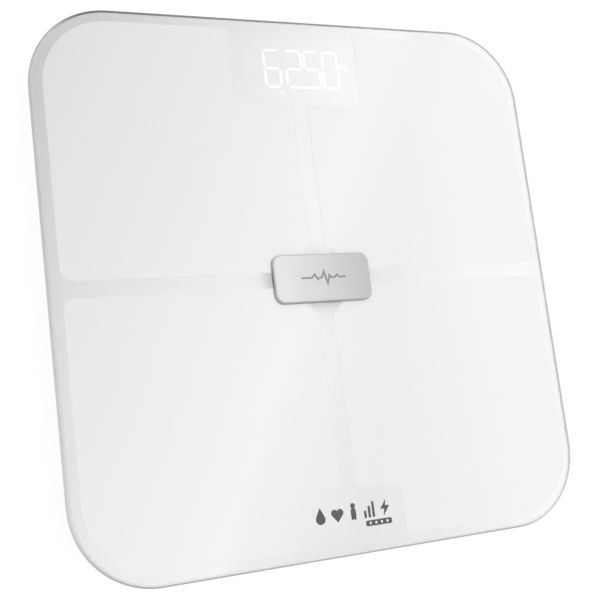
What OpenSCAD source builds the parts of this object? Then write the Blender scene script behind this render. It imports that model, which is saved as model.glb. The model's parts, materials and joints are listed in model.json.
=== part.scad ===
// Digital body-composition bathroom scale: a square glass platform with four standing electrodes and a
// raised metal badge, bonded to a shallow moulded tray that holds four load-cell feet, the display
// module, the main board and a battery bay with a hinged door.
// Frame: origin on the floor under the middle of the platform, +X right, +Y to the display edge, +Z up.

/* [Platform] */
// Side of the square glass platform
plate_w = 315; // [310:1:330]
// Corner radius of the platform seen from above
plate_r = 46; // [44:1:52]
// Thickness of the toughened glass
glass_t = 6; // [5:0.5:8]
// Radius of the polished edge, above and below
edge_r = 2; // [1:0.1:2.4]

/* [Electrodes] */
// Bare glass border outside the electrodes
border = 7; // [4:0.5:12]
// Width of the bare cross between the four electrodes
cross_gap = 9; // [5:0.5:12]
// Radius where the cross meets the border at either side
cross_end_r = 7.5; // [3:0.5:12]
// Thickness of the conductive film
film_t = 0.1; // [0.05:0.05:0.2]
// Width of the display notch
display_notch_w = 82.4; // [78:0.2:96]
// Depth of the display notch
display_notch_d = 46; // [42:0.5:50]
// Width of the notch for the printed pictograms
print_notch_w = 66.8; // [60:0.2:80]
// Depth of the notch for the printed pictograms
print_notch_d = 30; // [24:0.5:36]

/* [Badge] */
// Length of the metal badge
badge_w = 61.2; // [54:0.2:66]
// Width of the metal badge
badge_d = 28.2; // [24:0.2:32]
// Corner radius of the badge
badge_r = 5.5; // [3:0.5:8]
// Height of the badge over its adhesive pad
badge_t = 1.9; // [1.5:0.1:4]
// Width of the bevel round the top of the badge
badge_bevel = 0.8; // [0.4:0.1:1.5]

/* [Display] */
// Height of a digit
digit_h = 24; // [20:0.5:26]
// Width of a digit
digit_w = 11.2; // [9:0.1:11.4]
// Distance from one digit to the next
digit_pitch = 12.3; // [12:0.1:13]
// Width of one segment
segment_w = 1.3; // [1:0.1:2.4]
// Figures that the four lit digits show
reading = [6, 2, 5, 0];

/* [Tray] */
// Clearance between the floor and the tray
tray_z = 5.5; // [5:0.1:7]
// Height of the tray from its underside to its rim
tray_h = 14; // [14:0.5:18]
// Setback of the tray's rim inside the edge of the glass
tray_inset = 9; // [8:0.1:9.4]
// Thickness of the tray's floor
floor_t = 2; // [2:0.1:2.4]
// Width of the rim that carries the foam tape
rim_w = 4; // [3.5:0.1:4.4]

/* [Feet] */
// Distance of each foot's centre from the edges of the glass
foot_inset = 49.5; // [48:0.5:54]
// Radius of the foot shell
foot_r = 21.5; // [18:0.5:21.5]
// Radius of the rubber pad
pad_r = 18; // [14:0.5:18]
// Travel of a foot from no load to full load
foot_travel = 0.8; // [0.4:0.1:1]
// Side of the square load cell
cell_w = 34; // [32:0.5:35]
// Thickness of the load cell's steel
cell_t = 2.5; // [2:0.1:2.5]

/* [Battery bay] */
// Middle of the battery bay along Y
bay_y = -50; // [-54:1:-48]
// Diameter of one AAA cell
battery_d = 10.5; // [10.5:0.1:10.5]
// Length of one AAA cell with its tip
battery_l = 44.5; // [44:0.1:44.5]
// Thickness of the battery door
door_t = 1.6; // [1.4:0.1:1.7]
// Radius of the door's hinge barrel
barrel_r = 1.9; // [1.7:0.1:1.9]
// Running gap between the door and the tray
door_gap = 0.3; // [0.2:0.05:0.35]

/* [Electronics] */
// Width of the main board
board_w = 70; // [66:1:72]
// Depth of the main board
board_d = 50; // [48:1:52]
// Middle of the main board along Y
board_y = 47; // [46:1:49]
// Travel of the unit button
button_travel = 0.5; // [0.3:0.05:0.6]
// Radius of the unit button's cap
button_r = 4.9; // [4:0.1:5.5]

/* [Hidden] */
// Each corner's name, and the signs of its X and Y
SIDES = [["front_left", -1, -1], ["front_right", 1, -1], ["rear_left", -1, 1], ["rear_right", 1, 1]];

round_fn = 96;     // facets of a preview circle
small_fn = 32;     // facets of a small preview circle
play = 0.1;        // gap between pieces that only nearly touch
past = 1;          // how far a cut runs past a face

// Heights of the stack, from the floor upwards
floor_z = tray_z + floor_t;
rim_z = tray_z + tray_h;
tape_t = 0.85;
print_t = 0.14;
print_gap = 0.01;  // keeps the print's face apart from the glass's
print_z = rim_z + tape_t;
glass_z = print_z + print_t + print_gap;
top_z = glass_z + glass_t;
film_top_z = top_z + film_t;
adhesive_t = 0.45;
badge_z = film_top_z + adhesive_t;

// Electrodes
electrode_span = plate_w - 2*border;
electrode_r = plate_r - border;
flare_x = 12;      // half width of the cross beside the badge
flare_y = 14;      // where that wider part starts to narrow
notch_r = 7;       // corner radius of both notches
rivet_x = 20;      // contact rivets, hidden under the badge
rivet_y = 9;
rivet_r = 1.4;
rivet_head_r = 3;
rivet_head_t = 0.3;
rivet_bore_r = rivet_r + play;
strip_from_y = -4; // the contact strip's edges, from its rivet's centre
strip_to_y = -0.8;
engraving_w = 1.1; // stroke of the badge's pulse line
engraving_t = 0.3;
PULSE_LINE = [
  [-14, 0], [-7.5, 0], [-5.6, 2], [-3.8, -1], [-2.2, 0], [-1.2, 0], [0.4, 3.4], [2.2, -3.4],
  [3.8, 1.2], [4.6, 0], [7.2, 0], [8.6, 1.4], [10, 0], [14, 0]
];

// Display, placed from the rear edge
display_y = plate_w/2 - 28.9;
first_digit_x = -25.4;
digit_split = 1.6; // extra space between the first two lit digits
window_w = 86;
window_d = 37;
window_y = plate_w/2 - 32.2;
window_r = 3;
display_board_t = 1.2;
display_board_z = 13.2;
housing_z = display_board_z + display_board_t;
segment_gap = 1.9;
segment_side = (digit_w - segment_w)/2;
segment_mid = (digit_h - segment_w)/4;
point_r = 0.85;    // decimal point
mark_w = 0.8;      // stroke of the unit symbol and the transmitter sign
ribbon_w = 12;
ribbon_t = 0.6;

// Tray
tray_w = plate_w - 2*tray_inset;
tray_r = plate_r - tray_inset;
rib_x = 75;
rib_t = 1.5;
rib_top_z = 12.6;
wall_foot = 8;     // how far the rim's inner foot stands inside its outer edge
edge_curve_r = 3;  // curve between the tray's underside and its wall
edge_curve_in = 6.6;
label_w = 74;
label_d = 34;
label_y = 100;
label_recess = 0.3;
label_t = 0.2;
foot_c = plate_w/2 - foot_inset;
foot_bore_r = foot_r + 0.8;
collar_r = foot_bore_r + 2.9;
collar_t = 1.5;

// Feet and load cells
pad_t = 2.5;
shell_z = 1.5;
flange_r = foot_bore_r + 2.3;
flange_z = floor_z + play;
flange_t = 1.4;
cell_z = 10.2;
cell_top_z = cell_z + cell_t;
window_x = 11;     // half length of the load cell's window
window_half_d = 12;
tongue_d = 12;
root_gap = 0.3;    // the bend line between the cell's frame and its tongue
holder_w = 52;
holder_t = 3.5;
holder_top_z = cell_top_z + holder_t;
post_c = 21.4;
post_r = 3;
pilot_r = 1.1;
gauge_t = 0.7;
lead_z = 13.8;
cell_lead_r = 0.9;

// Battery bay
battery_r = battery_d/2;
battery_tip_l = 0.8;
battery_tip_r = 2.7;
battery_pitch = battery_d + 0.7;
battery_z = floor_z + 0.15 + battery_r;
bay_x = 25;        // half length of the battery space
bay_half_d = 17.8;
bay_top_z = 18.4;
bay_wall = 1.4;
hinge_y = bay_y - 20;
hinge_z = tray_z + barrel_r;
hinge_relief_r = barrel_r + door_gap;
door_x = 28;
door_edge_y = bay_y + 19.4;
bay_front_y = hinge_y - 4;
bay_rear_y = door_edge_y + 6;
finger_notch_d = 5;
ledge_z = tray_z + door_t + play;
hinge_pin_r = 1;
hinge_bore_r = 1.05;
hinge_pin_l = 2.2;
ear_x = 31.5;
bay_low_top_z = 11;
contact_t = 0.4;
tab_z = battery_z + 2.3; // solder tabs
spring_wire_r = 0.35;

// Main board
board_z = 12.5;
board_t = 1.6;
board_top_z = board_z + board_t;
board_screw_x = board_w/2 - 4;
board_screw_y = board_d/2 - 4;
button_x = 25;
button_y = 45;
button_z = tray_z - 0.4;
button_top_z = 8.3;
button_flange_r = button_r + 1.3;
switch_z = 9;
switch_side = 6;
stem_r = 1.75;
stem_top_z = switch_z + 0.7;
stem_well_top_z = stem_top_z + button_travel + 0.6;
connector_lead_z = 16.2;
cell_plug_x = board_w/2 - 3.5;
cell_plugs = [board_y - 13, board_y + 13];
front_plug_y = board_y - board_d/2 + 4;
front_plug_d = 5;
battery_plug_x = -15.5;

// ---------------------------------------------------------------- shared shapes

function arc(cx, cy, r, from, to, steps) =
  [for (i = [0:steps]) let (a = from + (to - from)*i/steps) [cx + r*cos(a), cy + r*sin(a)]];

// A rounded rectangle made of squares and circles, so its corners stay true arcs
module round_rect(w, d, r) {
  square([w - 2*r, d], center = true);
  square([w, d - 2*r], center = true);
  for (sx = [-1, 1], sy = [-1, 1]) translate([sx*(w/2 - r), sy*(d/2 - r)]) circle(r, $fn = round_fn);
}

// Carries a profile round a rounded rectangle. The profile's X runs outwards from the corner's centre.
module rim_sweep(w, d, r) {
  for (i = [0:3]) {
    out = (i % 2 == 0 ? w : d)/2 - r;
    run = (i % 2 == 0 ? d : w)/2 - r;
    rotate(90*i) translate([out, run, 0]) {
      rotate_extrude(angle = 90, $fn = round_fn) children();
      rotate([90, 0, 0]) linear_extrude(2*run) children();
    }
  }
}

// A box from one corner to the other
module block(low, high) translate(low) cube(high - low);

// A stroke of round-ended straight pieces
module stroke(points, w) {
  for (p = points) translate(p) circle(w/2, $fn = small_fn);
  for (i = [1:len(points) - 1]) {
    step = points[i] - points[i - 1];
    translate(points[i - 1]) rotate(atan2(step.y, step.x)) translate([0, -w/2]) square([norm(step), w]);
  }
}

// A line of even width with mitred corners
module mitred_line(points, w) {
  last = len(points) - 1;
  offsets = [for (i = [0:last]) let (
    before = unit(points[max(i, 1)] - points[max(i, 1) - 1]),
    after = unit(points[min(i, last - 1) + 1] - points[min(i, last - 1)]),
    mitre = (before + after)/(1 + before*after)
  ) w/2*[-mitre.y, mitre.x]];
  there = [for (i = [0:last]) points[i] + offsets[i]];
  back = [for (i = [last:-1:0]) points[i] - offsets[i]];
  polygon(concat(there, back));
}

// One of a smooth curve's points between b and c
function smooth(a, b, c, d, t) =
  0.5*(2*b + (c - a)*t + (2*a - 5*b + 4*c - d)*t*t + (3*b - a - 3*c + d)*t*t*t);
function smooth_route(p, steps) = [
  for (i = [0:len(p) - 2], s = [0:steps - 1])
    smooth(p[max(i - 1, 0)], p[i], p[i + 1], p[min(i + 2, len(p) - 1)], s/steps),
  p[len(p) - 1]
];
function unit(v) = v/norm(v);

// A round wire along a route. lean is a direction that the route never runs along.
module wire(route, r, sides = 8, lean = [0.31, 0.17, 0.93]) {
  n = len(route);
  rings = [for (i = [0:n - 1]) let (
    t = unit(route[min(i + 1, n - 1)] - route[max(i - 1, 0)]),
    u = unit(cross(t, lean)),
    v = cross(t, u)
  ) for (s = [0:sides - 1]) route[i] + r*(u*cos(360*s/sides) + v*sin(360*s/sides))];
  polyhedron(rings, concat(
    [[for (s = [0:sides - 1]) s]],
    [for (i = [0:n - 2], s = [0:sides - 1]) let (a = i*sides + s, b = i*sides + (s + 1) % sides)
      [a, a + sides, b + sides, b]],
    [[for (s = [sides - 1:-1:0]) (n - 1)*sides + s]]
  ));
}

// Places a sub-part drawn for the rear right corner at the given corner
module at_side(side)
  mirror([side[1] < 0 ? 1 : 0, 0, 0]) mirror([0, side[2] < 0 ? 1 : 0, 0]) children();
module at_foot(side) at_side(side) translate([foot_c, foot_c, 0]) children();

// ---------------------------------------------------------------- platform

module rivet_spots() for (side = SIDES) at_side(side) translate([rivet_x, rivet_y]) children();

module glass_platform() color("white") difference() {
  union() {
    rim_sweep(plate_w, plate_w, plate_r) polygon(concat(
      [[0, glass_z]],
      arc(plate_r - edge_r, glass_z + edge_r, edge_r, -90, 0, 6),
      arc(plate_r - edge_r, top_z - edge_r, edge_r, 0, 90, 6),
      [[0, top_z]]
    ));
    inner = plate_w/2 - plate_r;
    block([-inner, -inner, glass_z], [inner, inner, top_z]);
  }
  rivet_spots() translate([0, 0, glass_z - past])
    cylinder(h = glass_t + 2*past, r = rivet_bore_r, $fn = small_fn);
}

// White enamel under the glass, clear over the display
module back_print() color("whitesmoke") in_print() difference() {
  side = plate_w - 2*edge_r;
  round_rect(side, side, plate_r - edge_r);
  translate([0, window_y]) round_rect(window_w, window_d, window_r);
  rivet_spots() circle(rivet_head_r + play, $fn = small_fn);
}

// A notch that opens at the electrode's outer edge, drawn for the quarter with +X and +Y
module notch(w, d) translate([-past, electrode_span/2 - d]) {
  translate([0, notch_r]) square([w/2 + past, d]);
  square([w/2 + past - notch_r, d]);
  translate([w/2 + past - notch_r, notch_r]) circle(notch_r, $fn = round_fn);
}

module electrode(notch_w, notch_d) color("gainsboro") translate([0, 0, top_z]) linear_extrude(film_t) {
  half = cross_gap/2;
  edge = electrode_span/2;
  difference() {
    intersection() {
      round_rect(electrode_span, electrode_span, electrode_r);
      translate([half, half]) square(edge);
    }
    translate([edge - cross_end_r, half]) difference() {
      translate([0, -past]) square([cross_end_r + past, cross_end_r + past]);
      translate([0, cross_end_r]) circle(cross_end_r, $fn = round_fn);
    }
    polygon([
      [0, 0], [flare_x, 0], [flare_x, flare_y], [half, flare_y + flare_x - half], [0, flare_y + flare_x]
    ]);
    notch(notch_w, notch_d);
    round_rect(badge_w + 2*play, badge_d + 2*play, badge_r + play);
  }
}

// Strip under the badge, from a rivet to its electrode's edge
module contact_strip()
  block([0, strip_from_y, top_z], [badge_w/2 + play - rivet_x, strip_to_y, film_top_z]);

// Rivets that carry each electrode's current through the glass, under the badge
module contact_rivets() color("gold") rivet_spots() {
  translate([0, 0, print_z]) cylinder(h = film_top_z - print_z, r = rivet_r, $fn = small_fn);
  translate([0, 0, film_top_z]) cylinder(h = rivet_head_t, r = rivet_head_r, $fn = small_fn);
  translate([0, 0, glass_z - rivet_head_t]) cylinder(h = rivet_head_t, r = rivet_head_r, $fn = small_fn);
  contact_strip();
}

module badge_adhesive() color("dimgray") difference() {
  translate([0, 0, top_z]) linear_extrude(badge_z - top_z) difference() {
    round_rect(badge_w - 2, badge_d - 2, badge_r - 1);
    rivet_spots() circle(rivet_head_r + 0.3, $fn = small_fn);
  }
  rivet_spots() contact_strip();
}

// Satin badge with a bevelled rim and an engraved pulse line
module badge_plate() color("silver") difference() {
  badge_top_z = badge_z + badge_t;
  union() {
    rim_sweep(badge_w, badge_d, badge_r) polygon([
      [0, badge_z], [badge_r, badge_z], [badge_r, badge_top_z - badge_bevel*0.8],
      [badge_r - 0.25, badge_top_z - badge_bevel*0.5], [badge_r - badge_bevel, badge_top_z],
      [0, badge_top_z]
    ]);
    inner_x = badge_w/2 - badge_r;
    inner_y = badge_d/2 - badge_r;
    block([-inner_x, -inner_y, badge_z], [inner_x, inner_y, badge_top_z]);
  }
  translate([0, 0, badge_top_z - engraving_t]) linear_extrude(past)
    mitred_line(PULSE_LINE, engraving_w);
}

// ---------------------------------------------------------------- printed pictograms

module drop_icon() {
  circle(2.9, $fn = round_fn);
  polygon([[-2.62, 1.24], [0, 6.3], [2.62, 1.24]]);
}
module heart_icon() {
  for (s = [-1, 1]) translate([s*1.75, 2.2]) circle(2.05, $fn = round_fn);
  polygon([[-3.56, 1.22], [0, -3], [3.56, 1.22], [1.75, 2.4], [-1.75, 2.4]]);
}
module person_icon() {
  translate([0, 4.9]) circle(1.5, $fn = round_fn);
  stroke([[0, 2], [0, -0.6]], 3.2);
  for (s = [-1, 1]) stroke([[s*0.85, 0], [s*0.85, -2.3]], 1.3);
}
module bars_icon() for (i = [0:2]) stroke([[2.6*i - 2.6, -2.2], [2.6*i - 2.6, 0.6 + 2.3*i]], 1.5);
module bolt_icon() polygon([[0.9, 6.2], [-3, 0.9], [-0.5, 0.9], [-1.2, -3.1], [2.9, 2.6], [0.3, 2.6]]);

// A row of body-composition pictograms and a level bar, in dark ink on the glass
module front_pictograms() color("dimgray") translate([0, -plate_w/2 + 22.2, top_z]) linear_extrude(film_t) {
  translate([-19.5, 0]) drop_icon();
  translate([-9, 0]) heart_icon();
  translate([1, 0]) person_icon();
  translate([11, 0]) bars_icon();
  translate([21.2, 0]) bolt_icon();
  translate([16.4, -6]) difference() {
    round_rect(16.6, 3.2, 1);
    for (i = [-1.5:1.5]) translate([3.6*i, 0]) circle(0.75, $fn = small_fn);
  }
}

// ---------------------------------------------------------------- display

// Which of the segments top, upper right, lower right, bottom, lower left, upper left, middle are lit
FIGURES = [
  [1, 1, 1, 1, 1, 1, 0], [0, 1, 1, 0, 0, 0, 0], [1, 1, 0, 1, 1, 0, 1], [1, 1, 1, 1, 0, 0, 1],
  [0, 1, 1, 0, 0, 1, 1], [1, 0, 1, 1, 0, 1, 1], [1, 0, 1, 1, 1, 1, 1], [1, 1, 1, 0, 0, 0, 0],
  [1, 1, 1, 1, 1, 1, 1], [1, 1, 1, 1, 0, 1, 1]
];
NO_FIGURE = [0, 0, 0, 0, 0, 0, 0];
shown = concat([NO_FIGURE], [for (f = reading) FIGURES[f]]);
function digit_x(i) = first_digit_x + digit_pitch*i + (i > 1 ? digit_split : 0);

// A bar along X with pointed ends
module segment_bar(l, w) {
  end = l/2 - w/2;
  polygon([[-l/2, 0], [-end, w/2], [end, w/2], [l/2, 0], [end, -w/2], [-end, -w/2]]);
}
// Each segment's place in its digit, and its turn
SEGMENT_PLACES = [
  [0, 2*segment_mid, 0], [segment_side, segment_mid, 90], [segment_side, -segment_mid, 90],
  [0, -2*segment_mid, 0], [-segment_side, -segment_mid, 90], [-segment_side, segment_mid, 90], [0, 0, 0]
];
module segments(i, lit) for (s = [0:6]) if (shown[i][s] == lit) {
  place = SEGMENT_PLACES[s];
  l = 2*(place[2] == 0 ? segment_side : segment_mid);
  translate([digit_x(i) + place.x, display_y + place.y]) rotate(place[2])
    segment_bar(l - segment_gap, segment_w);
}
decimal_point = [digit_x(3) - digit_pitch/2, display_y - digit_h/2 + segment_w/2];
unit_mark = [34.4, display_y + 2.4];
radio_mark = [-8.6, display_y - 16];

// A straight bar with square ends, from a to b
module bar(a, b, w) translate(a) rotate(atan2(b.y - a.y, b.x - a.x)) translate([0, -w/2])
  square([norm(b - a), w]);
// A stretch of ring about +Y
module ring_stretch(r, w, half_angle) intersection() {
  difference() {
    circle(r + w/2, $fn = small_fn);
    circle(r - w/2, $fn = small_fn);
  }
  out = (2*r + w)*[sin(half_angle), cos(half_angle)];
  polygon([[0, 0], out, [-out.x, out.y]]);
}

// The unit symbol
module unit_symbol() translate(unit_mark) {
  bar([-2.2, 2.5], [-2.2, -1.4], mark_w);
  bar([-2.2, -0.2], [-0.7, 1.3], mark_w);
  bar([-1.8, 0.3], [-0.5, -1.4], mark_w);
  translate([1.2, 0]) difference() {
    square([2.4, 2.6], center = true);
    square([1.2, 1.4], center = true);
  }
  bar([2.1, 0], [2.1, -2.5], mark_w);
  bar([2.3, -2.4], [0, -2.4], mark_w);
}
// A small transmitter sign: a dot under two arcs
module radio_symbol() translate(radio_mark) translate([0, -1.6]) {
  circle(0.7, $fn = small_fn);
  for (r = [1.9, 3.4]) ring_stretch(r, mark_w, 40);
}
module lit_shapes() {
  for (i = [0:4]) segments(i, 1);
  translate(decimal_point) circle(point_r, $fn = small_fn);
  unit_symbol();
  radio_symbol();
}
module unlit_shapes() for (i = [0:4]) segments(i, 0);

module in_print() translate([0, 0, print_z]) linear_extrude(print_t) children();
module lit_segments() color("white") in_print() lit_shapes();
module unlit_segments() color("gainsboro") in_print() unlit_shapes();

// Translucent white film in the window, cut out for the segments
module display_film() color("whitesmoke") in_print() difference() {
  translate([0, window_y]) round_rect(window_w, window_d, window_r);
  lit_shapes();
  unlit_shapes();
}

// Reflector block with one light well behind each segment and each mark
module display_housing() color("white") translate([0, 0, housing_z])
  linear_extrude(print_z - housing_z) difference() {
    translate([0, window_y]) square([window_w - 2, window_d - 1], center = true);
    for (i = [0:4], lit = [0, 1]) segments(i, lit);
    translate(decimal_point) circle(point_r, $fn = small_fn);
    for (mark = [unit_mark, radio_mark]) translate(mark) square(6, center = true);
  }

module display_board() color("darkgreen") block(
  [-window_w/2 + 1, window_y - window_d/2 + 0.5, display_board_z],
  [window_w/2 - 1, window_y + window_d/2 - 0.5, housing_z]);

module led_chip(x, y) translate([x, y, housing_z]) linear_extrude(0.6) square([1.2, 0.8], center = true);
module display_leds() color("lightyellow") {
  for (i = [0:4], place = SEGMENT_PLACES) led_chip(digit_x(i) + place.x, display_y + place.y);
}

// Flat cable from the display board to the main board
module display_ribbon() color("lightgray") {
  from_y = board_y + board_d/2 - 1.9;
  to_y = window_y - window_d/2 + 0.4;
  low_z = board_top_z + 1.2;
  far_z = housing_z - 0.9;
  translate([-ribbon_w/2, 0, 0]) rotate([90, 0, 90]) linear_extrude(ribbon_w) polygon([
    [from_y, low_z], [from_y + 8, low_z], [to_y - 9, far_z], [to_y, far_z],
    [to_y, far_z + ribbon_t], [to_y - 8.8, far_z + ribbon_t],
    [from_y + 8.2, low_z + ribbon_t], [from_y, low_z + ribbon_t]
  ]);
}

// ---------------------------------------------------------------- tray

// The moulded tray is four nodes that meet face to face: floor, rim, ribs and battery bay.
// The curve under the tray's edge, which ends level with the floor's upper face
EDGE_CURVE = arc(tray_r - edge_curve_in, tray_z + edge_curve_r, edge_curve_r,
                 -90, asin(floor_t/edge_curve_r - 1), 6);
module floor_profile() polygon(concat([[0, tray_z]], EDGE_CURVE, [[0, floor_z]]));
module rim_profile() polygon([
  EDGE_CURVE[6], [tray_r, rim_z - 2], [tray_r, rim_z], [tray_r - rim_w, rim_z],
  [tray_r - rim_w, rim_z - 2.5], [tray_r - 6.4, floor_z + 1.6], [tray_r - wall_foot, floor_z]
]);

module along_hinge(from_x, to_x, r) translate([from_x, hinge_y, hinge_z]) rotate([0, 90, 0])
  cylinder(h = to_x - from_x, r = r, $fn = small_fn);

module bay_cuts() {
  reach = door_x + door_gap;
  block([-reach, hinge_y, tray_z - past], [reach, door_edge_y + door_gap, ledge_z]);
  block([-reach, hinge_y - hinge_relief_r, tray_z - past], [reach, hinge_y, hinge_z]);
  along_hinge(-reach, reach, hinge_relief_r);
  along_hinge(-door_x - hinge_pin_l - 0.3, door_x + hinge_pin_l + 0.3, hinge_bore_r);
  block([-bay_x, bay_y - bay_half_d + 0.2, tray_z - past], [bay_x, bay_y + bay_half_d, bay_top_z]);
  // latch pocket, open below as a finger notch
  block([-6, bay_y + bay_half_d - past, tray_z - past], [6, door_edge_y + 1.4, 10.2]);
  block([-8, door_edge_y, tray_z - past], [8, door_edge_y + finger_notch_d, floor_z - 0.9]);
  // slots for the contacts' solder tabs
  for (s = [-1, 1]) translate([s*bay_x, bay_y + s*battery_pitch, tab_z])
    cube([6, 3.6, 1], center = true);
}

// Box with its roof, walls, hinge ears and latch pocket
module battery_bay() color("gainsboro") difference() {
  union() {
    block([-ear_x, bay_front_y, tray_z], [ear_x, bay_rear_y, bay_low_top_z]);
    block([-bay_x - bay_wall, bay_y - bay_half_d - bay_wall, floor_z],
          [bay_x + bay_wall, bay_y + bay_half_d + bay_wall, bay_top_z + 1]);
  }
  bay_cuts();
}

module holder_screw_spots() for (s = [-1, 1]) translate([s*post_c, -s*post_c, 0]) children();
module board_screw_spots() for (sx = [-1, 1], sy = [-1, 1])
  translate([sx*board_screw_x, board_y + sy*board_screw_y, 0]) children();
module pilot_hole() translate([0, 0, floor_z + 0.5]) cylinder(h = 8, r = pilot_r, $fn = small_fn);

// Stiffening ribs, a collar round each foot, and the posts for the load cells and the main board
module tray_ribs() color("gainsboro") difference() {
  reach = tray_w/2 - wall_foot;
  union() {
    for (s = [-1, 1]) {
      block([s*rib_x - rib_t/2, -reach, floor_z], [s*rib_x + rib_t/2, reach, rib_top_z]);
      block([-reach, s*rib_x - rib_t/2, floor_z], [reach, s*rib_x + rib_t/2, rib_top_z]);
    }
    for (side = SIDES) at_foot(side) {
      translate([0, 0, floor_z]) linear_extrude(2.3) difference() {
        circle(collar_r + collar_t, $fn = round_fn);
        circle(collar_r, $fn = round_fn);
      }
      for (sx = [-1, 1], sy = [-1, 1]) translate([sx*post_c, sy*post_c, floor_z])
        cylinder(h = cell_top_z - floor_z, r = post_r, $fn = small_fn);
    }
    board_screw_spots() translate([0, 0, floor_z])
      cylinder(h = board_z - floor_z, r = post_r, $fn = small_fn);
  }
  for (side = SIDES) at_foot(side) holder_screw_spots() pilot_hole();
  board_screw_spots() pilot_hole();
}

module tray_rim() color("gainsboro") rim_sweep(tray_w, tray_w, tray_r) rim_profile();

// Floor with the feet's bores in their raised rings, and the holes for the battery bay and the button
module base_tray() color("gainsboro") difference() {
  inner = tray_w/2 - tray_r;
  union() {
    rim_sweep(tray_w, tray_w, tray_r) floor_profile();
    block([-inner, -inner, tray_z], [inner, inner, floor_z]);
    for (side = SIDES) at_foot(side) translate([0, 0, tray_z - 0.6]) rotate_extrude($fn = round_fn)
      polygon([[foot_bore_r, 0], [foot_bore_r + 2.2, 0], [foot_bore_r + 3.2, 1], [foot_bore_r, 1]]);
  }
  for (side = SIDES) at_foot(side) translate([0, 0, tray_z - past])
    cylinder(h = floor_t + 2*past, r = foot_bore_r, $fn = round_fn);
  block([-ear_x, bay_front_y, tray_z - past], [ear_x, bay_rear_y, floor_z + past]);
  translate([button_x, button_y, tray_z - past])
    cylinder(h = floor_t + 2*past, r = button_r + door_gap, $fn = small_fn);
  translate([0, label_y, tray_z - past]) linear_extrude(past + label_recess)
    round_rect(label_w + 1, label_d + 1, 3);
}

// Blank rating label in its recess
module rating_label() color("white") translate([0, label_y, tray_z + label_recess - label_t])
  linear_extrude(label_t) round_rect(label_w, label_d, 2.5);

// Foam tape between the tray's rim and the glass
module perimeter_tape() color("slategray") translate([0, 0, rim_z]) linear_extrude(tape_t) difference() {
  round_rect(tray_w, tray_w, tray_r);
  round_rect(tray_w - 2*rim_w, tray_w - 2*rim_w, tray_r - rim_w);
}

// ---------------------------------------------------------------- load cells and feet, for one corner

// Plastic block that carries the glass on the load cell's frame
module cell_holder() color("lightgray") difference() {
  union() {
    translate([0, 0, cell_top_z]) linear_extrude(holder_t) round_rect(holder_w, holder_w, 6);
    translate([0, 0, cell_top_z - 1.9]) linear_extrude(2) difference() {
      round_rect(cell_w + 3.4, cell_w + 3.4, 4);
      round_rect(cell_w + 0.4, cell_w + 0.4, 2.5);
    }
    translate([0, 0, holder_top_z - 0.5]) linear_extrude(print_z - holder_top_z + 0.5) {
      difference() {
        circle(20, $fn = round_fn);
        circle(17.6, $fn = round_fn);
      }
      for (a = [0, 90]) rotate(a) square([37, 2], center = true);
    }
  }
  translate([0, 0, cell_top_z - past]) linear_extrude(past + foot_travel + 0.7)
    square([2*window_x + 1, 2*window_half_d], center = true);
  // channel for the strain gauge and its lead
  block([-holder_w/2 - past, -3.6, cell_top_z - 2.5], [-window_x, 3.6, cell_top_z + 2.5]);
  holder_screw_spots() translate([0, 0, cell_top_z - past]) cylinder(h = 8, r = 1.6, $fn = small_fn);
}

module holder_screws() color("silver") for (side = SIDES) at_foot(side) holder_screw_spots()
  pan_screw(holder_top_z);

// Self-tapping screw with a cross recess, its head sitting on the height given
module pan_screw(seat_z) difference() {
  union() {
    translate([0, 0, seat_z]) rotate_extrude($fn = small_fn)
      polygon(concat([[0, 0], [2.6, 0], [2.6, 0.7]], arc(1.6, 0.7, 1, 0, 90, 3), [[0, 1.7]]));
    translate([0, 0, seat_z - 5]) cylinder(h = 5.1, r = pilot_r, $fn = small_fn);
    translate([0, 0, seat_z - 6]) cylinder(h = 1, r1 = 0.4, r2 = pilot_r, $fn = small_fn);
  }
  translate([0, 0, seat_z + 0.8]) linear_extrude(past) {
    square([2.4, 0.6], center = true);
    square([0.6, 2.4], center = true);
  }
}

// Fixed frame of the load cell: a square with a window and the root of its tongue
module load_cell() color("silver") translate([0, 0, cell_z]) linear_extrude(cell_t) {
  difference() {
    round_rect(cell_w, cell_w, 2.5);
    square([2*window_x, 2*window_half_d], center = true);
  }
  block_2d([-window_x - 0.5, -tongue_d/2], [-window_x + 1.5, tongue_d/2]);
}
module block_2d(low, high) translate(low) square(high - low);

// Moving tongue of the load cell, which the foot's boss pushes on
module cell_tongue() color("silver") translate([0, 0, cell_z]) linear_extrude(cell_t) {
  block_2d([-window_x + 1.5 + root_gap, -tongue_d/2], [0, tongue_d/2]);
  circle(tongue_d/2 + 1.5, $fn = round_fn);
}

module strain_gauges() color("white") for (side = SIDES) at_foot(side)
  block([-cell_w/2 + 0.5, -3, cell_top_z], [-window_x + 1.2, 3, cell_top_z + gauge_t]);

// Foot shell: a turned cup whose flange keeps it in the tray, with a boss under the load cell
module foot_shell() color("lightgray") rotate_extrude($fn = round_fn) polygon(concat(
  [[0, pad_t], [pad_r + 0.1, pad_t], [pad_r + 0.1, shell_z], [foot_r - 1.2, shell_z]],
  arc(foot_r - 1.2, shell_z + 1.2, 1.2, -60, 0, 4),
  [[foot_r, flange_z], [flange_r, flange_z], [flange_r, flange_z + flange_t],
   [foot_r - 2, flange_z + flange_t], [foot_r - 2, pad_t + 1.6], [8, pad_t + 1.6], [6, flange_z + flange_t],
   [5, cell_z - 0.4], [4.6, cell_z], [0, cell_z]]
));

// Rubber pad with shallow rings in its sole
module foot_pad() color("gray") rotate_extrude($fn = round_fn) polygon(concat(
  [[0, 0], [6, 0], [6.4, 0.5], [7.4, 0.5], [7.8, 0], [11, 0], [11.4, 0.5], [12.4, 0.5], [12.8, 0]],
  arc(pad_r - 0.8, 0.8, 0.8, -90, 0, 4),
  [[pad_r, pad_t], [0, pad_t]]
));

// ---------------------------------------------------------------- battery bay

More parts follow.
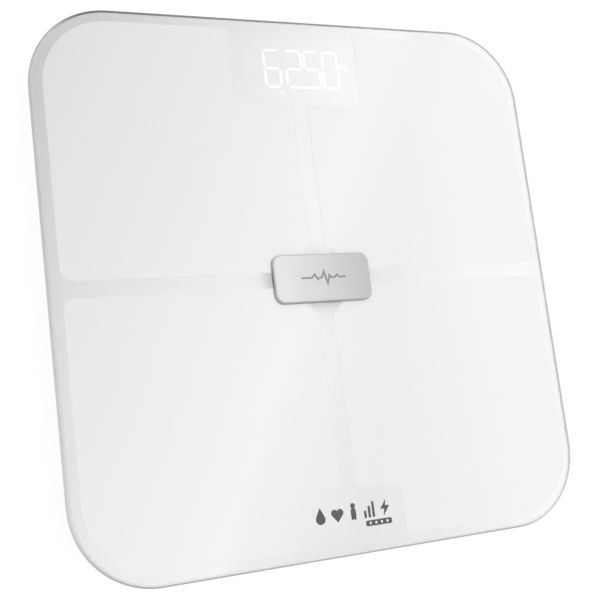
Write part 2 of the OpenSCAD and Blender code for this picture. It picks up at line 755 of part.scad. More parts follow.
module battery_door() color("gainsboro") {
  difference() {
    union() {
      block([-door_x, hinge_y, tray_z], [door_x, door_edge_y, tray_z + door_t]);
      along_hinge(-door_x, door_x, barrel_r);
      along_hinge(-door_x - hinge_pin_l, door_x + hinge_pin_l, hinge_pin_r);
      // latch tongue with its nib
      block([-5, bay_y + bay_half_d - 0.4, tray_z], [5, door_edge_y, 9.4]);
      block([-5, door_edge_y - 0.5, 8.4], [5, door_edge_y + 0.7, 9.4]);
    }
    // grip grooves by the latch
    for (i = [0:3]) translate([0, door_edge_y - 3 - 1.8*i, tray_z]) rotate([0, 90, 0])
      cylinder(h = 14 - 2*i, r = 0.5, center = true, $fn = small_fn);
    // slot that lets the latch tongue bend
    for (s = [-1, 1]) translate([s*6.2, 0, 0])
      block([-0.4, door_edge_y - 9, tray_z - past], [0.4, door_edge_y + past, 12]);
  }
}

// A cell along X whose tip points to +X
module battery() rotate([0, 90, 0]) rotate_extrude($fn = round_fn) polygon(concat(
  [[0, 0], [battery_r - 0.8, 0]],
  arc(battery_r - 0.5, 0.5, 0.5, -90, 0, 3),
  arc(battery_r - 0.5, battery_l - battery_tip_l - 0.5, 0.5, 0, 90, 3),
  [[battery_tip_r, battery_l - battery_tip_l], [battery_tip_r, battery_l - 0.2],
   [battery_tip_r - 0.2, battery_l], [0, battery_l]]
));

// The middle cell lies the other way round, so the three are in series
module battery_place(i) translate([0, bay_y + battery_pitch*(i - 1), battery_z])
  mirror([i % 2 == 0 ? 0 : 1, 0, 0]) translate([bay_x - contact_t - battery_l, 0, 0]) children();
module batteries() color("seagreen") for (i = [0:2]) battery_place(i) battery();

// Contact plates on the end walls: two single ones with solder tabs, and two that join neighbours
module battery_contacts() color("silver") for (s = [-1, 1]) {
  wall = s*(bay_x - contact_t/2);
  single_y = bay_y + s*battery_pitch;
  pair_y = bay_y - s*battery_pitch/2;
  translate([wall, single_y, battery_z]) cube([contact_t, 9, 8.6], center = true);
  translate([wall, pair_y, battery_z]) cube([contact_t, 19.6, 8.6], center = true);
  translate([s*(bay_x + 1.8), single_y, tab_z]) cube([4, 2.6, contact_t], center = true);
}

// Conical springs on the negative ends
module battery_springs() color("silver") for (i = [0:2]) battery_place(i) {
  gap = 2*(bay_x - contact_t) - battery_l;
  turns = 4;
  run = gap - 2*spring_wire_r;
  steps = 56;
  // the first and last turns lie flat
  wire([for (k = [0:steps]) let (f = k/steps, r = 3.7 - 1.5*f, a = 360*turns*f)
    [-gap + spring_wire_r + run*min(1, max(0, f*1.16 - 0.08)), r*cos(a), r*sin(a)]
  ], spring_wire_r, 6, [1, 0, 0]);
}

// ---------------------------------------------------------------- main board

module main_board() color("green") difference() {
  translate([0, board_y, board_z]) linear_extrude(board_t) round_rect(board_w, board_d, 2);
  board_screw_spots() translate([0, 0, board_z - past]) cylinder(h = 4, r = 1.6, $fn = small_fn);
}

module board_screws() color("silver") board_screw_spots() pan_screw(board_top_z);

// A block on the board, its middle given from the board's
module on_board(x, y, w, d, h) translate([x, board_y + y, board_top_z]) linear_extrude(h)
  square([w, d], center = true);

// Chips, small resistors and three can capacitors
module board_components() color("dimgray") {
  on_board(-4, -4, 10, 10, 1.2);
  on_board(12, 3, 9.9, 6, 1.6);
  on_board(13, -9, 4.9, 3.9, 1.5);
  on_board(-17, -10, 2.9, 1.6, 1.1);
  for (i = [0:3]) on_board(-7.4 + 3.4*i, 4.6, 1.6, 0.8, 0.5);
  for (p = [[20, -14], [-22, -4], [22, 12]])
    translate([p.x, board_y + p.y, board_top_z]) rotate_extrude($fn = small_fn)
      polygon([[0, 0], [2.5, 0], [2.5, 4.4], [2.2, 4.8], [0, 4.8]]);
}

// Radio module on its own small board with a metal can
module wireless_module() color("lightslategray") translate([-17, board_y + 12, board_top_z]) {
  linear_extrude(0.8) square([13, 17], center = true);
  translate([0, -2, 0.8]) linear_extrude(1.8) round_rect(11, 10, 0.8);
}

// Plugs at the board's edges: four for the load cells, one each for electrodes, battery and display
module plug(x, y, w, d, h = 4.2) on_board(x, y - board_y, w, d, h);
module board_connectors() color("ivory") {
  for (s = [-1, 1], y = cell_plugs) plug(s*cell_plug_x, y, 6, 7.4);
  plug(0, front_plug_y, 14, front_plug_d);
  plug(battery_plug_x, front_plug_y, 7, front_plug_d);
  plug(0, board_y + board_d/2 - 4, 15, 4, 2.6);
}

// Push switch under the board, with a well for its stem
module unit_switch() color("dimgray") translate([button_x, button_y, switch_z]) difference() {
  linear_extrude(board_z - switch_z) square(switch_side, center = true);
  translate([0, 0, -past])
    cylinder(h = past + stem_well_top_z - switch_z, r = stem_r + play, $fn = small_fn);
}
module switch_stem() color("black") translate([button_x, button_y, button_top_z])
  cylinder(h = stem_top_z - button_top_z, r = stem_r, $fn = small_fn);

// Cap through the tray's floor, with a flange that keeps it in and a dished face
module unit_button() color("gray") translate([button_x, button_y, 0])
  rotate_extrude($fn = round_fn) polygon(concat(
    [[0, button_z + 0.35], [button_r - 2.2, button_z + 0.25], [button_r - 0.9, button_z]],
    arc(button_r - 0.6, button_z + 0.6, 0.6, -60, 0, 4),
    [[button_r, floor_z + play], [button_flange_r, floor_z + play], [button_flange_r, button_top_z],
     [0, button_top_z]]
  ));

// ---------------------------------------------------------------- leads

// Routes on the right-hand side, from the load cells to the board; those on the left mirror them
cell_lead_x = foot_c - cell_w/2 + 0.45;
plug_face_x = board_w/2 - 0.4;
rear_cell_route = [
  [cell_lead_x, foot_c, lead_z], [84, foot_c, lead_z], [76, 101, lead_z], [68, 84, lead_z],
  [58, 66, 15], [46, cell_plugs[1], connector_lead_z], [plug_face_x, cell_plugs[1], connector_lead_z]
];
front_cell_route = [
  [cell_lead_x, -foot_c, lead_z], [84, -foot_c, lead_z], [76, -101, lead_z], [70, -78, lead_z],
  [68, -40, lead_z], [64, -4, lead_z], [57, 22, 14.6], [46, cell_plugs[0], connector_lead_z],
  [plug_face_x, cell_plugs[0], connector_lead_z]
];
module cell_leads() color("white") for (s = [0, 1]) mirror([s, 0, 0]) {
  wire(smooth_route(rear_cell_route, 4), cell_lead_r);
  wire(smooth_route(front_cell_route, 4), cell_lead_r);
}

under_rivet_z = glass_z - rivet_head_t - 0.05;
front_plug_face_y = front_plug_y - front_plug_d/2 - play;
rear_electrode_route = [
  [rivet_x, rivet_y, under_rivet_z], [19.4, 9.8, 18.4], [15, 13, 17.4], [9, 17.4, 16.8],
  [4.5, 20.6, connector_lead_z], [4.5, front_plug_face_y, connector_lead_z]
];
front_electrode_route = [
  [rivet_x, -rivet_y, under_rivet_z], [19.4, -8, 18.4], [14, -2, 17.4], [6, 8, 16.8],
  [1.5, 17, connector_lead_z], [1.5, front_plug_face_y, connector_lead_z]
];
module electrode_leads() color("firebrick") for (s = [0, 1]) mirror([s, 0, 0]) {
  wire(smooth_route(rear_electrode_route, 3), 0.6, 6);
  wire(smooth_route(front_electrode_route, 3), 0.6, 6);
}

tab_end_x = bay_x + 3.8 + 2*play;
minus_x = battery_plug_x - 1.6;
plus_x = battery_plug_x + 1.6;
minus_route = [
  [-tab_end_x, bay_y - battery_pitch, tab_z], [-30.4, bay_y - battery_pitch, tab_z], [-36, bay_y - 7, 14],
  [-40, -42, 13], [-40, -12, 12], [-33, 6, 12], [-21, 14, 14], [minus_x, 20, connector_lead_z],
  [minus_x, front_plug_face_y, connector_lead_z]
];
plus_route = [
  [tab_end_x, bay_y + battery_pitch, tab_z], [30.4, bay_y + battery_pitch, tab_z], [34.6, bay_y + 16, 14],
  [32, -21, 12.6], [16, -17, 12], [-4, -10, 12], [-13, 4, 12], [plus_x, 15, 14],
  [plus_x, 20.4, connector_lead_z], [plus_x, front_plug_face_y, connector_lead_z]
];
module battery_leads() color("black") {
  wire(smooth_route(minus_route, 4), 0.7, 6);
  wire(smooth_route(plus_route, 4), 0.7, 6);
}

// ---------------------------------------------------------------- nodes

glass_platform();
back_print();
badge_plate();
badge_adhesive();
front_pictograms();
display_film();
lit_segments();
unlit_segments();
display_housing();
display_board();
display_leds();
display_ribbon();
base_tray();
tray_rim();
tray_ribs();
battery_bay();
perimeter_tape();
rating_label();
for (side = SIDES) {
  at_side(side)
    electrode(side[2] < 0 ? print_notch_w : display_notch_w, side[2] < 0 ? print_notch_d : display_notch_d);
  at_foot(side) cell_holder();
  at_foot(side) load_cell();
  at_foot(side) cell_tongue();
  at_foot(side) foot_shell();
  at_foot(side) foot_pad();
}
strain_gauges();
holder_screws();
main_board();
board_screws();
board_components();
wireless_module();
board_connectors();
unit_switch();
switch_stem();
unit_button();
cell_leads();
electrode_leads();
battery_leads();
contact_rivets();
battery_contacts();
batteries();
battery_springs();
battery_door();
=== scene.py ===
"""Looks of the digital bathroom scale: materials, light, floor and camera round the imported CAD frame."""
import json
import math

import bpy
from mathutils import Matrix, Vector


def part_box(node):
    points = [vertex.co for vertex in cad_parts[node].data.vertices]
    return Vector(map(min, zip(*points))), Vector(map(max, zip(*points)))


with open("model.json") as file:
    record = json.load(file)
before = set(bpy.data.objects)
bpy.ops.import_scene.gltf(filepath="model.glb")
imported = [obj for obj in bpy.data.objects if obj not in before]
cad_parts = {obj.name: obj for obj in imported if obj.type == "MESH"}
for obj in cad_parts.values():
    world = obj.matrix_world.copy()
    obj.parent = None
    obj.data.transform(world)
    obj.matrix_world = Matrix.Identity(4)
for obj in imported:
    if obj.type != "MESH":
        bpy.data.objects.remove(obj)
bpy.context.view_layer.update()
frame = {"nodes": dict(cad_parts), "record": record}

MM = 0.001
nodes = frame["nodes"]

# ------------------------------------------------------------------ places from the frame

glass_low, glass_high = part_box("glass_platform")
badge_low, badge_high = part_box("badge_plate")
TOP_Z = glass_high.z
# where the plate's straight side ends and its corner begins
side_end = max(
    abs(v.co.y) for v in nodes["glass_platform"].data.vertices if v.co.x > glass_high.x - 0.01 * MM
)
PLATE_RADIUS = glass_high.y - side_end


# ------------------------------------------------------------------ camera

CAMERA_AZIMUTH = math.radians(-70.88)
CAMERA_ELEVATION = math.radians(63.71)
CAMERA_ROLL = math.radians(7.08)
CAMERA_DISTANCE = 0.6084
CAMERA_LENS = 64.01
# the point of the glass that the camera looks at
AIM = Vector((-0.01554, -0.01201, TOP_Z))


def make_camera():
    """Looks at the aim point with +Y up the picture, then rolls about the line of sight."""
    flat = math.cos(CAMERA_ELEVATION)
    back = Vector((math.sin(CAMERA_AZIMUTH) * flat, -math.cos(CAMERA_AZIMUTH) * flat, math.sin(CAMERA_ELEVATION)))
    up = Vector((0, 1, 0)) - back * back.y
    up.normalize()
    up.rotate(Matrix.Rotation(CAMERA_ROLL, 3, -back))
    right = up.cross(back)
    data = bpy.data.cameras.new("camera")
    data.lens = CAMERA_LENS
    data.sensor_width = 36
    data.clip_start, data.clip_end = 0.01, 50
    camera = bpy.data.objects.new("camera", data)
    bpy.context.scene.collection.objects.link(camera)
    place = AIM + back * CAMERA_DISTANCE
    camera.matrix_world = Matrix((
        (right.x, up.x, back.x, place.x),
        (right.y, up.y, back.y, place.y),
        (right.z, up.z, back.z, place.z),
        (0, 0, 0, 1),
    ))
    bpy.context.scene.camera = camera
    return camera


camera = make_camera()


# ------------------------------------------------------------------ node helpers

class Tree:
    """A small wrapper that adds shader nodes and links them."""

    def __init__(self, tree):
        self.tree = tree
        tree.nodes.clear()

    def add(self, kind, inputs=None, **settings):
        node = self.tree.nodes.new(kind)
        for name, value in settings.items():
            setattr(node, name, value)
        for name, value in (inputs or {}).items():
            self.set(node.inputs[name], value)
        return node

    def set(self, socket, value):
        if isinstance(value, bpy.types.NodeSocket):
            self.tree.links.new(value, socket)
        else:
            socket.default_value = value

    def math(self, operation, a, b=0.0):
        return self.add("ShaderNodeMath", {0: a, 1: b}, operation=operation).outputs[0]

    def map_range(self, value, from_min, from_max, to_min=0.0, to_max=1.0, smooth=False):
        node = self.add("ShaderNodeMapRange", {
            "Value": value, "From Min": from_min, "From Max": from_max, "To Min": to_min, "To Max": to_max,
        })
        if smooth:
            node.interpolation_type = "SMOOTHSTEP"
        return node.outputs["Result"]

    def place(self):
        """The object's own coordinates, in metres."""
        return self.add("ShaderNodeTexCoord").outputs["Object"]

    def axes(self, vector):
        return self.add("ShaderNodeSeparateXYZ", {0: vector}).outputs

    def noise(self, scale, detail=3.0, roughness=0.5, stretch=(1, 1, 1)):
        mapped = self.add("ShaderNodeMapping", {"Vector": self.place(), "Scale": stretch})
        node = self.add("ShaderNodeTexNoise", {
            "Vector": mapped.outputs[0], "Scale": scale, "Detail": detail, "Roughness": roughness,
        })
        return node.outputs["Fac"]

    def bump(self, height, distance):
        node = self.add("ShaderNodeBump", {"Height": height, "Distance": distance, "Strength": 1.0})
        return node.outputs["Normal"]

    def mix_colour(self, factor, a, b):
        node = self.add("ShaderNodeMix", data_type="RGBA")
        self.set(node.inputs[0], factor)
        self.set(node.inputs[6], a)
        self.set(node.inputs[7], b)
        return node.outputs[2]

    def principled(self, inputs):
        return self.add("ShaderNodeBsdfPrincipled", inputs)

    def finish(self, shader):
        output = self.add("ShaderNodeOutputMaterial")
        self.tree.links.new(shader, output.inputs["Surface"])


def new_material(name):
    material = bpy.data.materials.new(name)
    material.use_nodes = True
    return material, Tree(material.node_tree)


def rgb(r, g=None, b=None):
    return (r, r if g is None else g, r if b is None else b, 1.0)


# ------------------------------------------------------------------ studio light

# The ceiling light is laid out in the glass's own X and Y, in metres: each part of it lies at the spot of the glass
# where the camera sees it mirrored.
AMBIENT = 0.82       # strength outside the light
BRIGHT_EDGE = 4.75   # strength along the light's edge
BRIGHT_FIELD = 4.5   # strength of its even part, right of the edge
DIM_FIELD = 0.15     # strength at the far end of its falling part, left of the edge
DIP = 1.5            # how much weaker the even part is at the middle of its front end
FALL = 0.20          # length of the falling part
FALL_POWER = 0.75    # shape of the fall
LIGHT_REACH = 0.17   # half side of the light
LIGHT_SOFT = 0.08    # width of its soft margin
EDGE_HALF = 0.0015   # half width of the edge between the two parts
EDGE_POINT = Vector((-0.0002, -0.0011))
EDGE_DIRECTION = Vector((0.4499, 0.8931)).normalized()


def make_world():
    """A dim studio with one large ceiling light. Its pattern is what the glass mirrors."""
    world = bpy.data.worlds.new("studio")
    world.use_nodes = True
    bpy.context.scene.world = world
    t = Tree(world.node_tree)
    direction = t.add("ShaderNodeTexCoord").outputs["Generated"]
    x, y, z = t.axes(direction)
    up = t.math("MAXIMUM", z, 0.05)
    height = camera.location.z - TOP_Z
    on_x = t.math("ADD", t.math("MULTIPLY", t.math("DIVIDE", x, up), height), camera.location.x)
    on_y = t.math("ADD", t.math("MULTIPLY", t.math("DIVIDE", y, up), height), camera.location.y)
    # signed distance to the right of the light's edge
    right = Vector((EDGE_DIRECTION.y, -EDGE_DIRECTION.x))
    away = t.math("ADD", t.math("MULTIPLY", on_x, right.x), t.math("MULTIPLY", on_y, right.y))
    away = t.math("SUBTRACT", away, EDGE_POINT.dot(right))
    # falling part on the left, even part on the right
    falling = t.math("POWER", t.map_range(away, -FALL, 0.0), FALL_POWER)
    falling = t.math("ADD", t.math("MULTIPLY", falling, BRIGHT_EDGE - DIM_FIELD), DIM_FIELD)
    is_right = t.map_range(away, -EDGE_HALF, EDGE_HALF)
    # a soft dip in the even part, wider and deeper towards the front
    forward = t.map_range(on_y, 0.10, -0.15)
    middle = t.map_range(forward, 0.0, 1.0, 0.02, 0.075)
    spread = t.map_range(forward, 0.0, 1.0, 0.03, 0.10)
    off = t.math("DIVIDE", t.math("ABSOLUTE", t.math("SUBTRACT", away, middle)), spread)
    dip = t.math("MULTIPLY", t.map_range(off, 0.0, 1.0, 1.0, 0.0), t.map_range(forward, 0.0, 1.0, 0.5, DIP))
    level = t.math("ADD", t.math("MULTIPLY", is_right, t.math("SUBTRACT", BRIGHT_FIELD, dip)),
                   t.math("MULTIPLY", t.math("SUBTRACT", 1.0, is_right), falling))
    # the light ends softly beyond what the glass mirrors
    across = t.math("MAXIMUM", t.math("ABSOLUTE", on_x), t.math("ABSOLUTE", on_y))
    inside = t.map_range(across, LIGHT_REACH, LIGHT_REACH + LIGHT_SOFT, 1.0, 0.0, smooth=True)
    inside = t.math("MULTIPLY", inside, t.map_range(z, 0.15, 0.3))
    strength = t.math("ADD", t.math("MULTIPLY", inside, t.math("SUBTRACT", level, AMBIENT)), AMBIENT)
    # the camera itself sees plain white beyond the floor
    seen = t.add("ShaderNodeLightPath").outputs["Is Camera Ray"]
    strength = t.math("ADD", t.math("MULTIPLY", t.math("SUBTRACT", 1.0, seen), strength), seen)
    background = t.add("ShaderNodeBackground", {"Color": rgb(1.0), "Strength": strength})
    output = t.add("ShaderNodeOutputWorld")
    t.tree.links.new(background.outputs[0], output.inputs["Surface"])


make_world()
bpy.context.scene.view_settings.view_transform = "Standard"


# ------------------------------------------------------------------ floor

FLOOR_GLOW = 0.88


def make_floor():
    """A pale translucent sheet lit a little from below, seen only from above."""
    side = 12.0
    mesh = bpy.data.meshes.new("floor")
    corners = [(-side, -side, 0), (side, -side, 0), (side, side, 0), (-side, side, 0)]
    mesh.from_pydata(corners, [], [(0, 1, 2, 3)])
    floor = bpy.data.objects.new("floor", mesh)
    bpy.context.scene.collection.objects.link(floor)
    floor.location.z = -0.0002
    material, t = new_material("floor_paper")
    shade = t.noise(3.0, 4.0)
    colour = t.mix_colour(shade, rgb(0.145), rgb(0.155))
    paper = t.principled({
        "Base Color": colour, "Roughness": 0.9, "Specular IOR Level": 0.1,
        "Emission Color": rgb(1.0), "Emission Strength": FLOOR_GLOW,
    })
    clear = t.add("ShaderNodeBsdfTransparent")
    under = t.add("ShaderNodeNewGeometry").outputs["Backfacing"]
    mix = t.add("ShaderNodeMixShader", {0: under, 1: paper.outputs[0], 2: clear.outputs[0]})
    t.finish(mix.outputs[0])
    mesh.materials.append(material)


make_floor()


# ------------------------------------------------------------------ materials

def passes_lamps(t, shader):
    """The shader, except for the rays that carry light to what lies under the glass."""
    path = t.add("ShaderNodeLightPath")
    free = t.math("MAXIMUM", path.outputs["Is Shadow Ray"], path.outputs["Is Diffuse Ray"])
    clear = t.add("ShaderNodeBsdfTransparent", {"Color": rgb(0.985, 0.99, 0.988)})
    return t.add("ShaderNodeMixShader", {0: free, 1: shader, 2: clear.outputs[0]}).outputs[0]


def enamel_colour(t):
    """White enamel, a trace paler between the electrodes than along the plate's border."""
    place = t.axes(t.place())
    x, y = place["X"], place["Y"]
    reach = t.math("MAXIMUM", t.math("ABSOLUTE", x), t.math("ABSOLUTE", y))
    inner = t.map_range(reach, glass_high.x - 9 * MM, glass_high.x - 5 * MM, 0.022, 0.0)
    base = t.mix_colour(t.noise(60, 4), rgb(0.549), rgb(0.559))
    lift = t.add("ShaderNodeCombineColor", {0: inner, 1: inner, 2: inner}).outputs[0]
    return t.add("ShaderNodeVectorMath", {0: base, 1: lift}, operation="ADD").outputs[0]


def rim_painted_shading(t, x, y, nz):
    """The painted light and shade of the ground rim: how pale each side of the plate is painted, and whether a
    point belongs to that rim.
    """
    # how far the point lies past the square inside the corners, and which way: 0 along X, 1 along Y
    core = glass_high.x - PLATE_RADIUS
    out_x = t.math("MAXIMUM", t.math("SUBTRACT", t.math("ABSOLUTE", x), core), 0.0)
    out_y = t.math("MAXIMUM", t.math("SUBTRACT", t.math("ABSOLUTE", y), core), 0.0)
    square_x, square_y = t.math("MULTIPLY", out_x, out_x), t.math("MULTIPLY", out_y, out_y)
    total = t.math("MAXIMUM", t.math("ADD", square_x, square_y), 1e-9)
    along_y = t.math("DIVIDE", square_y, total)
    corner = t.math("MULTIPLY", t.math("MULTIPLY", along_y, t.math("SUBTRACT", 1.0, along_y)), 4.0)
    at_rear = t.math("GREATER_THAN", y, 0.0)
    along_y = t.math("ADD", t.math("MULTIPLY", at_rear, t.map_range(along_y, 0.4, 0.97, smooth=True)),
                     t.math("MULTIPLY", t.math("SUBTRACT", 1.0, at_rear), along_y))
    along_x = t.math("SUBTRACT", 1.0, along_y)
    # each side's share of the point, and the tone painted on it as light and shade
    tilt = t.math("ABSOLUTE", nz)
    wall = t.map_range(tilt, 0.75, 0.35)
    left = t.math("MULTIPLY", along_x, t.math("LESS_THAN", x, 0.0))
    right = t.math("MULTIPLY", along_x, t.math("GREATER_THAN", x, 0.0))
    front = t.math("MULTIPLY", along_y, t.math("LESS_THAN", y, 0.0))
    rear = t.math("MULTIPLY", along_y, at_rear)
    painted_light_tones = (
        (left, t.math("SUBTRACT", t.map_range(y, -0.12, 0.12, 0.70, 0.575), t.math("MULTIPLY", wall, 0.04))),
        (right, 0.50),
        (front, t.map_range(tilt, 0.93, 0.72, 0.74, 0.34)),
        (rear, t.map_range(x, -0.12, 0.12, 0.15, 0.42)),
    )
    painted_light_tone = 0.0
    for weight, side_painted_light in painted_light_tones:
        painted_light_tone = t.math("ADD", t.math("MULTIPLY", weight, side_painted_light), painted_light_tone)
    # painted shade: the rear left corner's wall is painted dark
    shade = t.math("MULTIPLY", t.math("MULTIPLY", corner, corner), t.math("MULTIPLY", wall, at_rear))
    shade = t.math("MULTIPLY", shade, t.math("LESS_THAN", x, 0.0))
    painted_light_tone = t.math("MULTIPLY", painted_light_tone, t.math("SUBTRACT", 1.0, t.math("MULTIPLY", shade, 0.93)))
    inset = t.math("SUBTRACT", PLATE_RADIUS, t.math("SQRT", total))
    width = t.math("ADD", t.math("MULTIPLY", right, 0.6 * MM), 2.0 * MM)
    return painted_light_tone, t.math("LESS_THAN", inset, width)


PAINTED_EDGE = 1.9 * MM   # height of the inside of the rim that shows the enamel
UNDER_FACE = 0.2 * MM     # whatever lies lower in the glass counts as its underside


def clear_glass():
    """Clear through its flat faces, with a finely ground rim that carries painted light and shade side by side,
    painted white inside along its lower edge.
    """
    material, t = new_material("clear_glass")
    geometry = t.add("ShaderNodeNewGeometry")
    nz = t.axes(geometry.outputs["Normal"])["Z"]
    x, y, z = t.axes(t.place())
    glass = t.principled({
        "Base Color": rgb(0.985), "Roughness": t.math("MULTIPLY", t.noise(40, 3), 0.012), "IOR": 1.52,
        "Transmission Weight": 1.0, "Coat Weight": 1.0, "Coat IOR": 1.5, "Coat Roughness": 0.0,
    })
    # painted light and shade on the rim: each side gets its own tone, darker on its steep wall and at the rear left
    # corner
    painted_light_tone, in_rim = rim_painted_shading(t, x, y, nz)
    painted_rim_grey = t.add("ShaderNodeCombineColor", {0: painted_light_tone, 1: painted_light_tone, 2: painted_light_tone}).outputs[0]
    speckle = t.mix_colour(t.map_range(t.noise(900, 2), 0.3, 0.7, 0.0, 0.05), painted_rim_grey, rgb(0.4))
    ground_rim_painted_light = t.principled({"Base Color": speckle, "Roughness": 0.6, "Specular IOR Level": 0.1})
    paint = t.principled({"Base Color": enamel_colour(t), "Roughness": 0.6, "Specular IOR Level": 0.0})
    clear = t.add("ShaderNodeBsdfTransparent", {"Color": rgb(0.995)})
    inside = geometry.outputs["Backfacing"]
    low_edge = t.math("MULTIPLY", inside, t.math("LESS_THAN", z, glass_low.z + PAINTED_EDGE))
    within = t.add("ShaderNodeMixShader", {0: low_edge, 1: glass.outputs[0], 2: paint.outputs[0]})
    seen_rim = t.math("MULTIPLY", in_rim, t.math("SUBTRACT", 1.0, inside))
    above = t.math("GREATER_THAN", z, glass_low.z + UNDER_FACE)
    flat = t.math("GREATER_THAN", t.math("ABSOLUTE", nz), 0.995)
    seen_rim = t.math("MULTIPLY", seen_rim, t.math("MAXIMUM", above, t.math("SUBTRACT", 1.0, flat)))
    steep_faces = t.add("ShaderNodeMixShader", {0: flat, 1: within.outputs[0], 2: glass.outputs[0]})
    faces = t.add("ShaderNodeMixShader", {0: seen_rim, 1: steep_faces.outputs[0], 2: ground_rim_painted_light.outputs[0]})
    # the enamel is bonded to the underside, so nothing is mirrored there
    bonded = t.math("MULTIPLY", flat, t.math("SUBTRACT", 1.0, above))
    shader = t.add("ShaderNodeMixShader", {0: bonded, 1: faces.outputs[0], 2: clear.outputs[0]})
    t.finish(passes_lamps(t, shader.outputs[0]))
    return material


def white_enamel():
    material, t = new_material("white_enamel")
    shader = t.principled({"Base Color": enamel_colour(t), "Roughness": 0.4, "Specular IOR Level": 0.0})
    t.finish(shader.outputs[0])
    return material


def electrode_film():
    material, t = new_material("electrode_film")
    grain = t.noise(900, 2)
    colour = t.mix_colour(t.noise(25, 4), rgb(0.680), rgb(0.690))
    shader = t.principled({
        "Base Color": colour, "Roughness": t.map_range(grain, 0.3, 0.7, 0.012, 0.028), "Specular IOR Level": 0.5,
        "Normal": t.bump(grain, 0.0000008),
    })
    # the film is too thin for its edge to show
    nz = t.axes(t.add("ShaderNodeNewGeometry").outputs["True Normal"])["Z"]
    edge = t.math("LESS_THAN", t.math("ABSOLUTE", nz), 0.5)
    clear = t.add("ShaderNodeBsdfTransparent")
    film = t.add("ShaderNodeMixShader", {0: edge, 1: shader.outputs[0], 2: clear.outputs[0]})
    t.finish(passes_lamps(t, film.outputs[0]))
    return material


def satin_badge():
    """Very fine blasted grain, with painted shade that makes it darker towards the right."""
    material, t = new_material("satin_badge")
    x, y, z = t.axes(t.place())
    across = t.map_range(x, badge_low.x, badge_high.x)
    grain = t.noise(2600, 2, 0.6)
    waves = t.noise(55, 2, 0.5, stretch=(1.0, 0.3, 1))
    # painted shade: the colour darkens from the left edge of the badge to its right edge
    painted_shade_gradient = t.mix_colour(across, rgb(0.515), rgb(0.338))
    colour = t.mix_colour(t.map_range(waves, 0.3, 0.7, 0.0, 0.07), painted_shade_gradient, rgb(0.3))
    # the engraved line is dark at its bottom
    near_x = t.math("LESS_THAN", t.math("ABSOLUTE", x), 20 * MM)
    near_y = t.math("LESS_THAN", t.math("ABSOLUTE", y), 7 * MM)
    sunk = t.map_range(z, badge_high.z - 0.2 * MM, badge_high.z - 0.05 * MM, 1.0, 0.0)
    sunk = t.math("MULTIPLY", t.math("MULTIPLY", sunk, near_y), near_x)
    colour = t.mix_colour(sunk, colour, rgb(0.22))
    # painted light and shade on the bevel: it is painted paler, least on the faces towards the front
    normal = t.axes(t.add("ShaderNodeNewGeometry").outputs["Normal"])
    bevel = t.math("MULTIPLY", t.map_range(normal["Z"], 0.97, 0.85), t.math("SUBTRACT", 1.0, sunk))
    bevel_painted_light = t.mix_colour(t.map_range(normal["Y"], -0.7, -0.2), rgb(0.48), rgb(0.70))
    colour = t.mix_colour(bevel, colour, bevel_painted_light)
    shader = t.principled({
        "Base Color": colour, "Metallic": 0.8, "Roughness": t.map_range(grain, 0.3, 0.7, 0.47, 0.53),
        "Normal": t.bump(grain, 0.0000015),
    })
    t.finish(shader.outputs[0])
    return material


def moulded(name, colour, grain=0.00002, rough=0.5, scale=1400):
    """Moulded plastic with a fine spark-eroded grain."""
    material, t = new_material(name)
    fine = t.noise(scale, 2)
    broad = t.noise(14, 3)
    dark = tuple(c * 0.95 for c in colour)
    mixed = t.mix_colour(broad, rgb(*dark), rgb(*colour))
    shader = t.principled({
        "Base Color": mixed, "Roughness": t.map_range(broad, 0.3, 0.7, rough - 0.04, rough + 0.06),
        "Normal": t.bump(fine, grain),
    })
    t.finish(shader.outputs[0])
    return material


def metal(name, colour, rough=0.3, scale=300):
    """Sheet metal with faint rolled streaks."""
    material, t = new_material(name)
    streaks = t.noise(scale, 4, 0.6, stretch=(0.2, 3, 1))
    mixed = t.mix_colour(t.noise(90, 3), rgb(*(c * 0.88 for c in colour)), rgb(*colour))
    shader = t.principled({
        "Base Color": mixed, "Metallic": 1.0,
        "Roughness": t.map_range(streaks, 0.3, 0.7, rough - 0.06, rough + 0.08),
    })
    t.finish(shader.outputs[0])
    return material


def ink():
    material, t = new_material("dark_ink")
    colour = t.mix_colour(t.noise(500, 3), rgb(0.050, 0.056, 0.062), rgb(0.070, 0.077, 0.085))
    shader = t.principled({"Base Color": colour, "Roughness": 0.35, "Specular IOR Level": 0.3})
    t.finish(passes_lamps(t, shader.outputs[0]))
    return material


def lit_segment():
    """Lit digits, and the weaker unit mark on their right and radio mark below them."""
    material, t = new_material("lit_segment")
    glow = t.mix_colour(t.noise(400, 2), rgb(1.0, 0.995, 0.98), rgb(1.0))
    place = t.axes(t.place())
    unit_mark = t.math("GREATER_THAN", place["X"], 31.5 * MM)
    radio_mark = t.math("LESS_THAN", place["Y"], 115 * MM)
    mark = t.math("MAXIMUM", unit_mark, radio_mark)
    shader = t.principled({
        "Base Color": rgb(0.5), "Roughness": 0.5, "Specular IOR Level": 0.0, "Emission Color": glow,
        "Emission Strength": t.map_range(mark, 0.0, 1.0, 0.4, 0.25),
    })
    t.finish(shader.outputs[0])
    return material


def film_white(name, level):
    material, t = new_material(name)
    colour = t.mix_colour(t.noise(80, 3), rgb(level * 0.99), rgb(level))
    t.finish(t.principled({"Base Color": colour, "Roughness": 0.5, "Specular IOR Level": 0.2}).outputs[0])
    return material


def circuit_board():
    material, t = new_material("circuit_board")
    lines = t.add("ShaderNodeTexBrick", {
        "Vector": t.place(), "Color1": rgb(0.02, 0.16, 0.07), "Color2": rgb(0.03, 0.20, 0.09),
        "Mortar": rgb(0.05, 0.28, 0.13), "Scale": 220.0, "Mortar Size": 0.03,
    })
    t.finish(t.principled({"Base Color": lines.outputs["Color"], "Roughness": 0.3}).outputs[0])
    return material


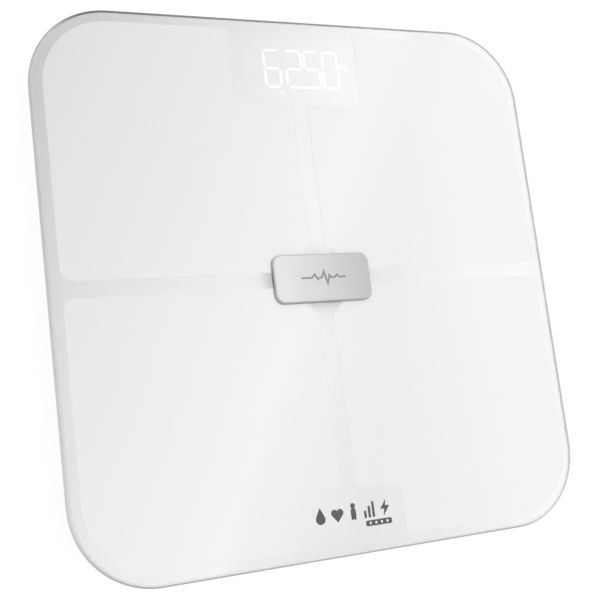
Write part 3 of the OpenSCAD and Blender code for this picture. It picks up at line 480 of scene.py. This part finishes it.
def battery_sleeve():
    """Green sleeve with bare steel at both ends."""
    material, t = new_material("battery_sleeve")
    low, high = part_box("batteries")
    x = t.axes(t.place())["X"]
    middle = (low.x + high.x) / 2
    reach = (high.x - low.x) / 2 - 1.2 * MM
    sleeve = t.map_range(t.math("ABSOLUTE", t.math("SUBTRACT", x, middle)), reach, reach - 0.1 * MM)
    colour = t.mix_colour(t.noise(70, 2), rgb(0.05, 0.24, 0.15), rgb(0.06, 0.30, 0.18))
    shown = t.mix_colour(sleeve, rgb(0.72, 0.72, 0.70), colour)
    shader = t.principled({
        "Base Color": shown, "Metallic": t.math("SUBTRACT", 1.0, sleeve),
        "Roughness": t.map_range(sleeve, 0, 1, 0.28, 0.36),
    })
    t.finish(shader.outputs[0])
    return material


MATERIALS = {
    "clear_glass": clear_glass(),
    "white_enamel": white_enamel(),
    "electrode_film": electrode_film(),
    "satin_badge": satin_badge(),
    "foam_tape": moulded("foam_tape", (0.10, 0.105, 0.11), 0.0001, 0.9, 600),
    "dark_ink": ink(),
    "diffuser": film_white("diffuser", 0.575),
    "lit_segment": lit_segment(),
    "unlit_segment": film_white("unlit_segment", 0.565),
    "white_abs": moulded("white_abs", (0.80, 0.80, 0.80)),
    "grey_abs": moulded("grey_abs", (0.52, 0.53, 0.54)),
    "circuit_board": circuit_board(),
    "chip_black": moulded("chip_black", (0.03, 0.03, 0.033), 0.00001, 0.45),
    "led_chip": moulded("led_chip", (0.85, 0.80, 0.45), 0.00001, 0.3),
    "ribbon": moulded("ribbon", (0.60, 0.60, 0.62), 0.00001, 0.4),
    "label_white": moulded("label_white", (0.78, 0.78, 0.79), 0.000005, 0.42),
    "cell_steel": metal("cell_steel", (0.60, 0.60, 0.62), 0.3),
    "screw_steel": metal("screw_steel", (0.62, 0.63, 0.65), 0.3),
    "gauge_silicone": moulded("gauge_silicone", (0.82, 0.82, 0.80), 0.00003, 0.4),
    "foot_rubber": moulded("foot_rubber", (0.13, 0.135, 0.14), 0.00003, 0.75, 900),
    "shield_can": metal("shield_can", (0.68, 0.68, 0.69), 0.25),
    "connector_nylon": moulded("connector_nylon", (0.80, 0.77, 0.66), 0.00001, 0.4),
    "button_grey": moulded("button_grey", (0.16, 0.165, 0.17), 0.00001, 0.35),
    "wire_white": moulded("wire_white", (0.75, 0.75, 0.75), 0.00001, 0.45),
    "wire_red": moulded("wire_red", (0.45, 0.03, 0.02), 0.00001, 0.4),
    "wire_black": moulded("wire_black", (0.02, 0.02, 0.02), 0.00001, 0.4),
    "contact_brass": metal("contact_brass", (0.80, 0.62, 0.32), 0.3),
    "contact_nickel": metal("contact_nickel", (0.70, 0.69, 0.66), 0.28),
    "cell_sleeve": battery_sleeve(),
}


def dress_nodes():
    """Gives every CAD node its slot's material."""
    slot_of = {part["node"]: part["material_slot"] for part in frame["record"]["subparts"]}
    for name, node in nodes.items():
        node.data.materials.clear()
        node.data.materials.append(MATERIALS[slot_of[name]])


dress_nodes()
